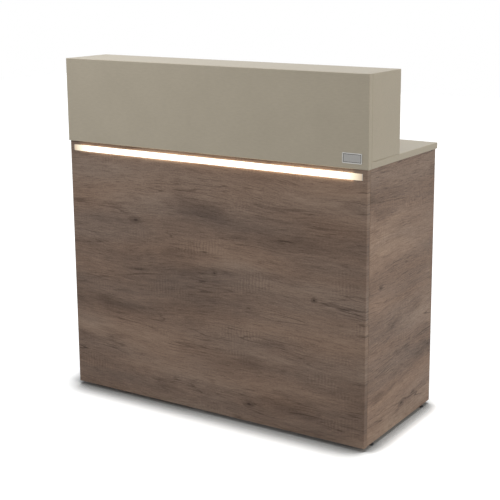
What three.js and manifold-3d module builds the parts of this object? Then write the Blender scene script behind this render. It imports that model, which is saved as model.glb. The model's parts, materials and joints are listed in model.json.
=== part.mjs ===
// Reception desk: a boarded cabinet with a raised counter and a light line across its front.
// The receptionist's side has a worktop, a lockable drawer on ball runners, a shelf bay and a knee space.
// Millimetres, +Z up. X runs to the visitor's right and the visitor stands at -Y.
// The origin lies on the floor under the middle of the desk.

import * as THREE from 'three';
import { mergeVertices } from 'three/addons/utils/BufferGeometryUtils.js';
import Module from 'manifold-3d';

const wasm = await Module();
wasm.setup();

// Overall form
const deskWidth = 1010; // worktop and raised counter, end to end
const deskDepth = 425; // face of the raised counter to the back edge of the worktop
const floorGap = 10; // floor to the lower edges of the boards
const cabinetHeight = 760; // lower cabinet, up to the underside of the worktop
const hutchHeight = 245; // raised counter, from the underside of the worktop
const hutchDepth = 180;
const board = 18; // thickness of the decor-faced boards
const sideOverhang = 4; // worktop and counter past the cabinet's sides
const frontOverhang = 3; // counter past the cabinet's front
const backOverhang = 3; // worktop past the back edges of the sides
const jointGap = 0.2; // between two pieces that are drawn tight
const arris = 1; // broken edges of the boards

// Blank plate at the lower right of the counter's face
const badgeWidth = 58;
const badgeHeight = 27.5;
const badgeProud = 1.5;
const badgeSideInset = 18.3; // plate to the right end of the counter
const badgeLowInset = 13.8; // plate to the lower edge of the counter
const badgeCorner = 2.5;
const badgeRim = 1.8;
const badgeRecess = 0.5;

// Light line in the front board
const lightInset = 13.5; // groove ends to the edges of the front board
const lightDrop = 11; // groove to the underside of the worktop
const lightHeight = 18;
const lightDepth = 10;
const lightFit = 0.2; // light parts to the groove and to each other
const lightWall = 1.2; // aluminium channel
const diffuserFace = 1.6;
const diffuserDome = 1.8; // swell of the light cover past the front board
const diffuserLegReach = 3.4;
const diffuserLeg = 1;
const lightCap = 2; // end caps
const stripHeight = 8;
const stripThickness = 0.8;
const stripEndInset = 36; // bare channel at each end, room for the lead
const chipSize = 3;
const chipRise = 0.9;
const chipPitch = 50;

// Lead and driver behind the front board
const leadDiameter = 3.6;
const leadHoleClearance = 0.4;
const leadBend = 14; // bend radius on the lead's centre line
const leadInset = 25; // lead hole to the right end of the groove
const leadStart = 8; // lead's end below the face of the front board
const leadDrop = 60; // light line to the driver's centre line
const leadRunOut = 6; // straight stretch before the driver
const leadSides = 8;
const leadSteps = 26;
const driverLength = 150;
const driverHeight = 46;
const driverThickness = 30;
const driverCorner = 4;
const driverEar = 12;
const driverEarThickness = 3;
const driverScrewHole = 4.5;
const inletWidth = 15;
const inletHeight = 9;
const inletDepth = 12;
const inletCorner = 4;
const inletPin = 2.4;
const inletPinRecess = 2; // pins behind the mouth of the inlet
const inletPinSpacing = 8;
const clipWidth = 8;
const clipBase = 14;
const clipBaseThickness = 2;
const clipStem = 5;
const clipRing = 1.5; // wall of the ring that holds the lead
const clipFit = 0.3;
const clipDrop = 30; // light line to the clip

// Pedestal on the left of the knee space
const pedestalWidth = 400; // clear width between its sides
const pedestalSetback = 30; // drawer front and shelf behind the back edges of the sides
const shelfPlay = 1; // shelf to the boards around it
const pinHeight = 308; // middle hole of each row above the floor
const pinPitch = 32;
const pinsPerRow = 5;
const pinRowInset = 60; // rows from the front and back edges of the shelf
const pinStud = 4.8;
const pinPeg = 6;
const pinPegLength = 9;
const pinHoleDepth = 10;
const pinFit = 0.3;
const pinTip = 0.6;

// Drawer
const drawerFrontHeight = 150;
const drawerReveal = 2.5; // gap beside the drawer front
const drawerTopReveal = 3;
const drawerBackRoom = 22.8; // drawer box to the inner face of the front board
const drawerSide = 12;
const drawerSideHeight = 110;
const drawerSideLift = 8; // sides above the lower edge of the front
const drawerBottom = 4;
const drawerBottomLift = 8; // groove above the lower edges of the sides
const drawerGroove = 5.5;
const grooveFit = 0.3;
const handleSpacing = 128;
const handleProjection = 26;
const handleBar = 9;
const handleBend = 11;
const handleSides = 10;
const handleSteps = 22;
const handleDrop = 84; // handle to the top edge of the drawer front

// Cam lock of the drawer
const lockDrop = 25; // lock to the top edge of the drawer front
const lockBody = 16;
const lockFlange = 21;
const lockFlangeThickness = 2;
const lockReach = 6; // housing past the inner face of the drawer front
const lockFit = 0.3;
const lockBarrel = 11;
const lockTail = 6;
const lockTailLength = 4;
const keySlotWidth = 1.6;
const keySlotHeight = 7;
const keySlotDepth = 5;
const camThickness = 2;
const camReach = 22; // lock axis to the tip of the cam
const camWidth = 12;
const strikeHeight = 13;
const strikeWidth = 44;
const strikeLeg = 18;
const strikeSheet = 2;
const strikeGap = 0.8; // cam to the strike when the drawer is shut

// Ball runners: three bent steel rails with a ball cage in each of the two races
const runnerInset = 5; // runner ends inside the ends of the drawer box
const runnerHalfHeight = 22.75;
const runnerThickness = 12.7; // wall of the pedestal to the drawer's side
const railSheet = 1.2;
const railBend = 1.4; // bends, on the middle of the sheet
const ball = 3.4;
const ballGap = 0.3; // ball to each race
const cageSheet = 0.8;
const cageGap = 0.3; // cage to the rails beside it
const outerBallOffset = 6.6; // outer balls from the wall of the pedestal
const innerBallOffset = 7.6;
const middleReach = 10; // edges of the middle rail from the wall
const cageLength = 150;
const ballsPerRow = 6;
const ballRowInset = 10;
const railScrewHole = 4.5;
const railScrewInset = 35;
const raceOpening = Math.PI / 4; // race wraps each ball to this angle

// Levelling feet in the lower edges of the upright boards
const footInset = 40; // feet from the front and back ends of the boards
const footPad = 17;
const footPadHeight = 6;
const footPadLip = 1;
const footCollar = 12;
const footSeat = 0.3; // foot to the board when screwed right in
const footStud = 6;
const footStudLength = 22;
const footStudFit = 0.25;
const insertDiameter = 10;
const insertLength = 24;
const insertFit = 0.3;
const insertEndRoom = 0.5;

// Cable outlet in the worktop
const grommetSideInset = 175; // middle of the outlet to the right end of the worktop
const grommetInset = 90; // outlet to the inner face of the counter's front
const grommetHole = 60;
const grommetFit = 0.3;
const grommetFlange = 70;
const grommetFlangeThickness = 2.5;
const grommetWall = 2.1;
const grommetSleeve = 14;
const grommetLedge = 3;
const grommetLedgeDrop = 1.5;
const grommetLedgeThickness = 2;
const grommetChamfer = 1;
const capFit = 0.4;
const capSlotWidth = 18;
const capSlotRadius = 14; // slot floor from the middle of the cap

// Sides of the faceted round forms
const roundSides = 24;
const boreSides = 12;
const pinSides = 8;
const footSides = 16;
const ballSides = 6;
const ballRings = 4;
const arcSteps = 3;
const cornerSteps = 2;
const domeSteps = 8;
const overshoot = 1; // cutters past the faces that they open

// Places that several pieces share
const halfWidth = deskWidth / 2;
const hutchFrontY = (badgeProud - deskDepth) / 2;
const worktopBackY = hutchFrontY + deskDepth;
const grommetX = halfWidth - grommetSideInset;
const cabinetHalfWidth = halfWidth - sideOverhang;
const cabinetFrontY = hutchFrontY + frontOverhang;
const cabinetBackY = worktopBackY - backOverhang;
const frontInnerY = cabinetFrontY + board;
const sideFrontY = frontInnerY + jointGap;
const worktopZ = floorGap + cabinetHeight;
const worktopTopZ = worktopZ + board;
const cabinetTopZ = worktopZ - jointGap;
const hutchTopZ = worktopZ + hutchHeight;
const hutchInnerY = hutchFrontY + board;
const hutchBackY = hutchFrontY + hutchDepth;
const pedestalLeftX = board - cabinetHalfWidth;
const pedestalRightX = pedestalLeftX + pedestalWidth;
const pedestalX = (pedestalLeftX + pedestalRightX) / 2;
const pedestalBackY = cabinetBackY - pedestalSetback;
const dividerRightX = pedestalRightX + board;
const rightInnerX = cabinetHalfWidth - board;
const lightHalfLength = cabinetHalfWidth - lightInset;
const lightZ = worktopZ - lightDrop - lightHeight / 2;
const leadX = lightHalfLength - leadInset;
const shelfFrontY = sideFrontY + shelfPlay;
const drawerInnerY = pedestalBackY - board;
const drawerLength = drawerInnerY - jointGap - frontInnerY - drawerBackRoom;
const runnerLength = drawerLength - 2 * runnerInset;
const drawerZ = worktopZ - drawerTopReveal - drawerFrontHeight;
const runnerZ = drawerZ + drawerSideLift + drawerSideHeight / 2;

// Materials
function finish(color, roughness, metalness = 0) {
  return new THREE.MeshStandardMaterial({ color, roughness, metalness });
}

const oakDecor = finish(0x6f6157, 0.55);
const paleDecor = finish(0xaaa08e, 0.42);
const drawerBoard = finish(0xcfc9bd, 0.6);
const aluminium = finish(0xb9bbbd, 0.35, 1);
const opal = finish(0xfff4e0, 0.5);
const circuit = finish(0xe8e4d8, 0.6);
const darkSteel = finish(0x8b8d90, 0.35, 1);
const zincSteel = finish(0xb4b7bb, 0.28, 1);
const blackPlastic = finish(0x1d1d1f, 0.5);
const whitePlastic = finish(0xe2e0da, 0.45);
const greyPlastic = finish(0x8d8a84, 0.5);
const badgeMetal = finish(0xa4a19c, 0.4, 1);

// Solids for cutting and joining
const weldDistance = 1e-4;

function toSolid(geometry) {
  const bare = geometry.clone();
  bare.deleteAttribute('normal');
  bare.deleteAttribute('uv');
  const welded = mergeVertices(bare, weldDistance);
  const corners = welded.getIndex().array;
  const triangles = [];
  for (let i = 0; i < corners.length; i += 3) {
    const [a, b, c] = corners.slice(i, i + 3);
    if (a !== b && b !== c && c !== a) triangles.push(a, b, c);
  }
  const mesh = new wasm.Mesh({
    numProp: 3,
    vertProperties: new Float32Array(welded.getAttribute('position').array),
    triVerts: new Uint32Array(triangles),
  });
  return new wasm.Manifold(mesh);
}

function toGeometry(solid) {
  const mesh = solid.getMesh();
  const geometry = new THREE.BufferGeometry();
  geometry.setAttribute('position', new THREE.BufferAttribute(new Float32Array(mesh.vertProperties), 3));
  geometry.setIndex(new THREE.BufferAttribute(new Uint32Array(mesh.triVerts), 1));
  const faceted = geometry.toNonIndexed();
  faceted.computeVertexNormals();
  return faceted;
}

function cut(geometry, cutters) {
  if (cutters.length === 0) return geometry;
  let solid = toSolid(geometry);
  for (const cutter of cutters) solid = solid.subtract(toSolid(cutter));
  return toGeometry(solid);
}

function join(geometry, others) {
  let solid = toSolid(geometry);
  for (const other of others) solid = solid.add(toSolid(other));
  return toGeometry(solid);
}

// Basic forms
const axisNames = ['x', 'y', 'z'];
const unit = { x: new THREE.Vector3(1, 0, 0), y: new THREE.Vector3(0, 1, 0), z: new THREE.Vector3(0, 0, 1) };

// Turns a form that was extruded along Z so that it runs along another axis, the other two in cyclic order.
function alongAxis(geometry, axis) {
  const index = axisNames.indexOf(axis);
  const first = unit[axisNames[(index + 1) % 3]];
  const second = unit[axisNames[(index + 2) % 3]];
  return geometry.applyMatrix4(new THREE.Matrix4().makeBasis(first, second, unit[axis]));
}

// An outline carried along an axis. Its two coordinates are y,z for X, z,x for Y and x,y for Z.
function prism(shape, axis, from, to, curveSegments = cornerSteps) {
  const geometry = new THREE.ExtrudeGeometry(shape, { depth: to - from, bevelEnabled: false, curveSegments });
  geometry.translate(0, 0, from);
  return alongAxis(geometry, axis);
}

function middle([low, high]) {
  return (low + high) / 2;
}

function block({ x, y, z }) {
  const geometry = new THREE.BoxGeometry(x[1] - x[0], y[1] - y[0], z[1] - z[0]);
  return geometry.translate(middle(x), middle(y), middle(z));
}

// A round bar or hole between two points.
function rod(from, to, diameter, sides = boreSides) {
  const start = new THREE.Vector3(...from);
  const end = new THREE.Vector3(...to);
  const direction = end.clone().sub(start);
  const geometry = new THREE.CylinderGeometry(diameter / 2, diameter / 2, direction.length(), sides);
  geometry.applyQuaternion(new THREE.Quaternion().setFromUnitVectors(unit.y, direction.normalize()));
  const centre = start.add(end).divideScalar(2);
  return geometry.translate(centre.x, centre.y, centre.z);
}

// A turned form about the Y axis, from [radius, height] pairs.
function turned(profile, sides = roundSides) {
  return new THREE.LatheGeometry(profile.map(([radius, height]) => new THREE.Vector2(radius, height)), sides);
}

function closedProfile(profile) {
  return [...profile, profile[0]];
}

function rectangle(width, height) {
  const shape = new THREE.Shape();
  shape.moveTo(-width / 2, -height / 2);
  shape.lineTo(width / 2, -height / 2);
  shape.lineTo(width / 2, height / 2);
  shape.lineTo(-width / 2, height / 2);
  return shape;
}

function roundedRectangle(width, height, radius) {
  const shape = new THREE.Shape();
  const reach = width / 2 - radius;
  const rise = height / 2 - radius;
  shape.absarc(reach, rise, radius, 0, Math.PI / 2);
  shape.absarc(-reach, rise, radius, Math.PI / 2, Math.PI);
  shape.absarc(-reach, -rise, radius, Math.PI, Math.PI * 1.5);
  shape.absarc(reach, -rise, radius, Math.PI * 1.5, Math.PI * 2);
  return shape;
}

function circle(diameter, sides) {
  const points = [];
  for (let i = 0; i < sides; i += 1) {
    const angle = (i / sides) * Math.PI * 2;
    points.push(new THREE.Vector2(Math.cos(angle), Math.sin(angle)).multiplyScalar(diameter / 2));
  }
  return new THREE.Shape(points);
}

// A centre line through corner points, with round bends of one radius.
function bentPath(corners, radius) {
  const path = new THREE.CurvePath();
  let from = corners[0];
  for (let i = 1; i < corners.length - 1; i += 1) {
    const inward = corners[i].clone().sub(corners[i - 1]).normalize();
    const outward = corners[i + 1].clone().sub(corners[i]).normalize();
    const turn = inward.angleTo(outward);
    const reach = radius * Math.tan(turn / 2);
    const pull = (4 / 3) * Math.tan(turn / 4) * radius;
    const entry = corners[i].clone().addScaledVector(inward, -reach);
    const exit = corners[i].clone().addScaledVector(outward, reach);
    const entryPull = entry.clone().addScaledVector(inward, pull);
    const exitPull = exit.clone().addScaledVector(outward, -pull);
    path.add(new THREE.LineCurve3(from, entry));
    path.add(new THREE.CubicBezierCurve3(entry, entryPull, exitPull, exit));
    from = exit;
  }
  path.add(new THREE.LineCurve3(from, corners[corners.length - 1]));
  return path;
}

function tube(path, diameter, sides, steps) {
  return new THREE.ExtrudeGeometry(circle(diameter, sides), { steps, extrudePath: path, bevelEnabled: false });
}

// A flat board about its own middle, with the edges of its two faces broken.
function boardForm(size, edge) {
  const thin = size.indexOf(Math.min(...size));
  const width = size[(thin + 1) % 3] - 2 * edge;
  const height = size[(thin + 2) % 3] - 2 * edge;
  const depth = size[thin] - 2 * edge;
  const geometry = new THREE.ExtrudeGeometry(rectangle(width, height), {
    depth,
    bevelEnabled: true,
    bevelThickness: edge,
    bevelSize: edge,
    bevelSegments: 1,
  });
  geometry.translate(0, 0, -depth / 2);
  return alongAxis(geometry, axisNames[thin]);
}

function addPiece(parent, name, geometry, material) {
  const mesh = new THREE.Mesh(geometry, material);
  mesh.name = name;
  parent.add(mesh);
  return mesh;
}

// A board that fills a span of its parent's frame. The cutters are given in that frame too.
function addBoard(parent, name, { x, y, z }, material, cutters = [], edge = arris) {
  const form = boardForm([x[1] - x[0], y[1] - y[0], z[1] - z[0]], edge);
  const moved = cutters.map((cutter) => cutter.translate(-middle(x), -middle(y), -middle(z)));
  const mesh = addPiece(parent, name, cut(form, moved), material);
  mesh.position.set(middle(x), middle(y), middle(z));
  return mesh;
}

function addGroup(parent, x, y, z) {
  const group = new THREE.Group();
  group.position.set(x, y, z);
  parent.add(group);
  return group;
}

// Holes of the feet in the lower edge of an upright board
const footRows = [sideFrontY + footInset, cabinetBackY - footInset];

function footBores(x) {
  const top = floorGap + insertLength + insertEndRoom;
  return footRows.map((y) => rod([x, y, floorGap - overshoot], [x, y, top], insertDiameter + 2 * insertFit));
}

// Rows of shelf-pin holes in one face of an upright board
const pinRows = [shelfFrontY + pinRowInset, pedestalBackY - pinRowInset];

function pinBores(faceX, inward) {
  const bores = [];
  for (const y of pinRows) {
    for (let i = 0; i < pinsPerRow; i += 1) {
      const z = pinHeight + (i - (pinsPerRow - 1) / 2) * pinPitch;
      const mouth = [faceX - inward * overshoot, y, z];
      const floor = [faceX + inward * pinHoleDepth, y, z];
      bores.push(rod(mouth, floor, pinStud + 2 * pinFit, pinSides));
    }
  }
  return bores;
}

// Lower cabinet
const dividerX = (pedestalRightX + dividerRightX) / 2;
const outerBoardX = cabinetHalfWidth - board / 2;

function addCarcass(desk) {
  const uprightY = [sideFrontY, cabinetBackY];
  const uprightZ = [floorGap, cabinetTopZ];
  const groove = block({
    x: [-lightHalfLength, lightHalfLength],
    y: [cabinetFrontY - overshoot, cabinetFrontY + lightDepth],
    z: [lightZ - lightHeight / 2, lightZ + lightHeight / 2],
  });
  const leadHole = rod(
    [leadX, cabinetFrontY, lightZ],
    [leadX, frontInnerY + overshoot, lightZ],
    leadDiameter + 2 * leadHoleClearance,
  );
  addBoard(desk, 'front_panel', {
    x: [-cabinetHalfWidth, cabinetHalfWidth],
    y: [cabinetFrontY, frontInnerY],
    z: uprightZ,
  }, oakDecor, [groove, leadHole]);
  addBoard(desk, 'left_side_panel', {
    x: [-cabinetHalfWidth, pedestalLeftX],
    y: uprightY,
    z: uprightZ,
  }, oakDecor, [...footBores(-outerBoardX), ...pinBores(pedestalLeftX, -1)]);
  addBoard(desk, 'right_side_panel', {
    x: [rightInnerX, cabinetHalfWidth],
    y: uprightY,
    z: uprightZ,
  }, oakDecor, footBores(outerBoardX));
  addBoard(desk, 'divider_panel', {
    x: [pedestalRightX, dividerRightX],
    y: uprightY,
    z: uprightZ,
  }, oakDecor, [...footBores(dividerX), ...pinBores(pedestalRightX, 1)]);
  addBoard(desk, 'pedestal_bottom_panel', {
    x: [pedestalLeftX + jointGap, pedestalRightX - jointGap],
    y: [sideFrontY, pedestalBackY],
    z: [floorGap, floorGap + board],
  }, oakDecor);
  const grommetBore = rod(
    [grommetX, hutchInnerY + grommetInset, worktopZ - overshoot],
    [grommetX, hutchInnerY + grommetInset, worktopTopZ + overshoot],
    grommetHole,
    roundSides,
  );
  addBoard(desk, 'worktop', {
    x: [-halfWidth, halfWidth],
    y: [hutchInnerY + jointGap, worktopBackY],
    z: [worktopZ, worktopTopZ],
  }, paleDecor, [grommetBore]);
}

// Shelf and its pins
function addShelf(desk) {
  const underside = pinHeight + pinPeg / 2 + jointGap;
  addBoard(desk, 'adjustable_shelf', {
    x: [pedestalLeftX + shelfPlay, pedestalRightX - shelfPlay],
    y: [shelfFrontY, pedestalBackY],
    z: [underside, underside + board],
  }, oakDecor);
  const pinProfile = [
    [0, pinFit - pinHoleDepth],
    [pinStud / 2, pinFit - pinHoleDepth],
    [pinStud / 2, jointGap],
    [pinPeg / 2, jointGap],
    [pinPeg / 2, pinPegLength - pinTip],
    [pinPeg / 2 - pinTip, pinPegLength],
    [0, pinPegLength],
  ];
  const sides = [['left', pedestalLeftX, -Math.PI / 2], ['right', pedestalRightX, Math.PI / 2]];
  for (const [side, faceX, turn] of sides) {
    pinRows.forEach((y, row) => {
      const name = `shelf_pin_${side}_${['front', 'back'][row]}`;
      const pin = addPiece(desk, name, turned(pinProfile, pinSides), zincSteel);
      pin.position.set(faceX, y, pinHeight);
      pin.rotation.z = turn;
    });
  }
}

// Raised counter, open towards the receptionist
function addHutch(desk) {
  const sideSpan = { y: [hutchInnerY + jointGap, hutchBackY], z: [worktopTopZ + jointGap, hutchTopZ] };
  addBoard(desk, 'hutch_front_panel', {
    x: [-halfWidth, halfWidth],
    y: [hutchFrontY, hutchInnerY],
    z: [worktopZ, hutchTopZ],
  }, paleDecor);
  addBoard(desk, 'hutch_left_side', { x: [-halfWidth, board - halfWidth], ...sideSpan }, paleDecor);
  addBoard(desk, 'hutch_right_side', { x: [halfWidth - board, halfWidth], ...sideSpan }, paleDecor);
  addBoard(desk, 'hutch_top', {
    x: [board - halfWidth + jointGap, halfWidth - board - jointGap],
    y: sideSpan.y,
    z: [hutchTopZ - board, hutchTopZ],
  }, paleDecor);
}

function addBadge(desk) {
  const thickness = badgeProud - jointGap;
  const plate = prism(roundedRectangle(badgeHeight, badgeWidth, badgeCorner), 'y', -thickness, 0);
  const floorHeight = badgeHeight - 2 * badgeRim;
  const floorWidth = badgeWidth - 2 * badgeRim;
  const floorCorner = Math.max(badgeCorner - badgeRim, badgeCorner / 4);
  const floorShape = roundedRectangle(floorHeight, floorWidth, floorCorner);
  const recess = prism(floorShape, 'y', -thickness - overshoot, badgeRecess - thickness);
  const badge = addPiece(desk, 'badge_plate', cut(plate, [recess]), badgeMetal);
  badge.position.set(
    halfWidth - badgeSideInset - badgeWidth / 2,
    hutchFrontY - jointGap,
    worktopZ + badgeLowInset + badgeHeight / 2,
  );
}

// Light line. Its group's origin is in the middle of the groove's mouth, with +Y into the board.
function addLight(desk) {
  const light = addGroup(desk, 0, cabinetFrontY, lightZ);
  const half = lightHeight / 2 - lightFit;
  const capInnerX = lightHalfLength - lightFit - lightCap;
  const runX = capInnerX - lightFit;
  const channelFront = diffuserFace + lightFit;
  const channelBack = lightDepth - lightFit;
  const webFront = channelBack - lightWall;
  const wallInner = half - lightWall;

  const channelShape = new THREE.Shape([
    new THREE.Vector2(channelBack, -half),
    new THREE.Vector2(channelBack, half),
    new THREE.Vector2(channelFront, half),
    new THREE.Vector2(channelFront, wallInner),
    new THREE.Vector2(webFront, wallInner),
    new THREE.Vector2(webFront, -wallInner),
    new THREE.Vector2(channelFront, -wallInner),
    new THREE.Vector2(channelFront, -half),
  ]);
  const leadHole = rod(
    [leadX, webFront - overshoot, 0],
    [leadX, channelBack + overshoot, 0],
    leadDiameter + 2 * leadHoleClearance,
  );
  addPiece(light, 'led_channel', cut(prism(channelShape, 'x', -runX, runX), [leadHole]), aluminium);

  const stripX = runX - stripEndInset;
  const stripBack = webFront - lightFit;
  const stripFront = stripBack - stripThickness;
  const stripSpan = { x: [-stripX, stripX], y: [stripFront, stripBack], z: [-stripHeight / 2, stripHeight / 2] };
  const chips = [];
  const chipCount = Math.floor((2 * stripX - chipSize) / chipPitch) + 1;
  for (let i = 0; i < chipCount; i += 1) {
    const x = (i - (chipCount - 1) / 2) * chipPitch;
    chips.push(block({
      x: [x - chipSize / 2, x + chipSize / 2],
      y: [stripFront - chipRise, stripFront + stripThickness / 2],
      z: [-chipSize / 2, chipSize / 2],
    }));
  }
  addPiece(light, 'led_strip', join(block(stripSpan), chips), circuit);

  const legOuter = wallInner - lightFit;
  const legInner = legOuter - diffuserLeg;
  const legEnd = diffuserFace + diffuserLegReach;
  const diffuserShape = new THREE.Shape([
    new THREE.Vector2(0, -half),
    new THREE.Vector2(diffuserFace, -half),
    new THREE.Vector2(diffuserFace, -legOuter),
    new THREE.Vector2(legEnd, -legOuter),
    new THREE.Vector2(legEnd, -legInner),
    new THREE.Vector2(diffuserFace, -legInner),
    new THREE.Vector2(diffuserFace, legInner),
    new THREE.Vector2(legEnd, legInner),
    new THREE.Vector2(legEnd, legOuter),
    new THREE.Vector2(diffuserFace, legOuter),
    new THREE.Vector2(diffuserFace, half),
    new THREE.Vector2(0, half),
  ]);
  diffuserShape.quadraticCurveTo(-2 * diffuserDome, 0, 0, -half);
  addPiece(light, 'led_diffuser', prism(diffuserShape, 'x', -runX, runX, domeSteps), opal);

  const capSpan = { y: [0, channelBack], z: [-half, half] };
  const capEdge = lightCap / 6;
  const capX = [capInnerX, capInnerX + lightCap];
  addBoard(light, 'led_end_cap_left', { x: [-capX[1], -capX[0]], ...capSpan }, whitePlastic, [], capEdge);
  addBoard(light, 'led_end_cap_right', { x: capX, ...capSpan }, whitePlastic, [], capEdge);
}

// Lead from the light line to the driver, behind the front board
const leadStandoff = jointGap + driverThickness / 2;
const driverEndX = leadX - leadBend - leadRunOut;
const driverZ = lightZ - leadDrop;

function addLead(desk) {
  const corners = [
    new THREE.Vector3(leadX, cabinetFrontY + leadStart, lightZ),
    new THREE.Vector3(leadX, frontInnerY + leadStandoff, lightZ),
    new THREE.Vector3(leadX, frontInnerY + leadStandoff, driverZ),
    new THREE.Vector3(driverEndX + jointGap, frontInnerY + leadStandoff, driverZ),
  ];
  addPiece(desk, 'led_lead', tube(bentPath(corners, leadBend), leadDiameter, leadSides, leadSteps), whitePlastic);

  const ringInner = leadDiameter + 2 * clipFit;
  const ringOuter = ringInner + 2 * clipRing;
  const baseBack = jointGap;
  const base = block({
    x: [-clipBase / 2, clipBase / 2],
    y: [baseBack, baseBack + clipBaseThickness],
    z: [-clipWidth / 2, clipWidth / 2],
  });
  const stem = block({
    x: [-clipStem / 2, clipStem / 2],
    y: [baseBack + clipBaseThickness / 2, leadStandoff],
    z: [-clipWidth / 2, clipWidth / 2],
  });
  const ringFrom = [0, leadStandoff, -clipWidth / 2];
  const ring = rod(ringFrom, [0, leadStandoff, clipWidth / 2], ringOuter, roundSides);
  const seatLow = -clipWidth / 2 - overshoot;
  const seat = rod([0, leadStandoff, seatLow], [0, leadStandoff, -seatLow], ringInner, roundSides);
  const mouth = block({
    x: [-leadDiameter / 2, leadDiameter / 2],
    y: [leadStandoff, leadStandoff + ringOuter],
    z: [seatLow, -seatLow],
  });
  const clip = addPiece(desk, 'led_lead_clip', cut(join(base, [stem, ring]), [seat, mouth]), whitePlastic);
  clip.position.set(leadX, frontInnerY, lightZ - clipDrop);
}

function addDriver(desk) {
  const driver = addGroup(desk, driverEndX, frontInnerY + leadStandoff, driverZ);
  const halfThickness = driverThickness / 2;
  const earX = [-driverLength - driverEar, driverEar];
  const shell = prism(roundedRectangle(driverThickness, driverHeight, driverCorner), 'x', -driverLength, 0);
  const ears = block({
    x: earX,
    y: [-halfThickness, driverEarThickness - halfThickness],
    z: [-driverHeight / 4, driverHeight / 4],
  });
  const earHoles = [earX[0] + driverEar / 2, earX[1] - driverEar / 2].map((x) => rod(
    [x, -halfThickness - overshoot, 0],
    [x, driverEarThickness - halfThickness + overshoot, 0],
    driverScrewHole,
  ));
  const mouthX = -driverLength;
  const inletShape = roundedRectangle(inletHeight, inletWidth, inletCorner);
  const inlet = prism(inletShape, 'x', mouthX - overshoot, mouthX + inletDepth);
  const pins = [-inletPinSpacing / 2, inletPinSpacing / 2].map((z) => rod(
    [mouthX + inletPinRecess, 0, z],
    [mouthX + inletDepth + overshoot, 0, z],
    inletPin,
    pinSides,
  ));
  const pocket = cut(inlet, pins);
  addPiece(driver, 'led_driver', cut(join(shell, [ears]), [...earHoles, pocket]), blackPlastic);
}

// Drawer. Its group's origin is at the middle of the front's inner face, at its lower edge.
const drawerHalf = pedestalWidth / 2 - runnerThickness - jointGap;
const drawerInnerHalf = drawerHalf - drawerSide;
const lockZ = drawerFrontHeight - lockDrop;

function addDrawerBox(drawer) {
  const frontHalf = pedestalWidth / 2 - drawerReveal;
  const boxY = [-jointGap - drawerLength, -jointGap];
  const sideZ = [drawerSideLift, drawerSideLift + drawerSideHeight];
  const bottomZ = drawerSideLift + drawerBottomLift;
  const lockBore = rod([0, -overshoot, lockZ], [0, board + overshoot, lockZ], lockBody + 2 * lockFit, roundSides);
  addBoard(drawer, 'drawer_front', {
    x: [-frontHalf, frontHalf],
    y: [0, board],
    z: [0, drawerFrontHeight],
  }, paleDecor, [lockBore]);

  const grooveSpan = {
    x: [drawerInnerHalf - overshoot, drawerInnerHalf + drawerGroove],
    y: [boxY[0] - overshoot, boxY[1] + overshoot],
    z: [bottomZ - grooveFit, bottomZ + drawerBottom + grooveFit],
  };
  const leftGroove = block({ ...grooveSpan, x: [-grooveSpan.x[1], -grooveSpan.x[0]] });
  addBoard(drawer, 'drawer_left_side', {
    x: [-drawerHalf, -drawerInnerHalf],
    y: boxY,
    z: sideZ,
  }, drawerBoard, [leftGroove]);
  addBoard(drawer, 'drawer_right_side', {
    x: [drawerInnerHalf, drawerHalf],
    y: boxY,
    z: sideZ,
  }, drawerBoard, [block(grooveSpan)]);
  addBoard(drawer, 'drawer_back', {
    x: [jointGap - drawerInnerHalf, drawerInnerHalf - jointGap],
    y: [boxY[0], boxY[0] + drawerSide],
    z: [bottomZ + drawerBottom + jointGap, sideZ[1]],
  }, drawerBoard);
  const bottomHalf = drawerInnerHalf + drawerGroove - grooveFit;
  addBoard(drawer, 'drawer_bottom', {
    x: [-bottomHalf, bottomHalf],
    y: boxY,
    z: [bottomZ, bottomZ + drawerBottom],
  }, drawerBoard, [], drawerBottom / 8);
}

function addHandle(drawer) {
  const reach = handleProjection - handleBar / 2;
  const corners = [
    new THREE.Vector3(-handleSpacing / 2, 0, 0),
    new THREE.Vector3(-handleSpacing / 2, reach, 0),
    new THREE.Vector3(handleSpacing / 2, reach, 0),
    new THREE.Vector3(handleSpacing / 2, 0, 0),
  ];
  const bow = tube(bentPath(corners, handleBend), handleBar, handleSides, handleSteps);
  const handle = addPiece(drawer, 'drawer_handle', bow, darkSteel);
  handle.position.set(0, board + jointGap, drawerFrontHeight - handleDrop);
}

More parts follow.
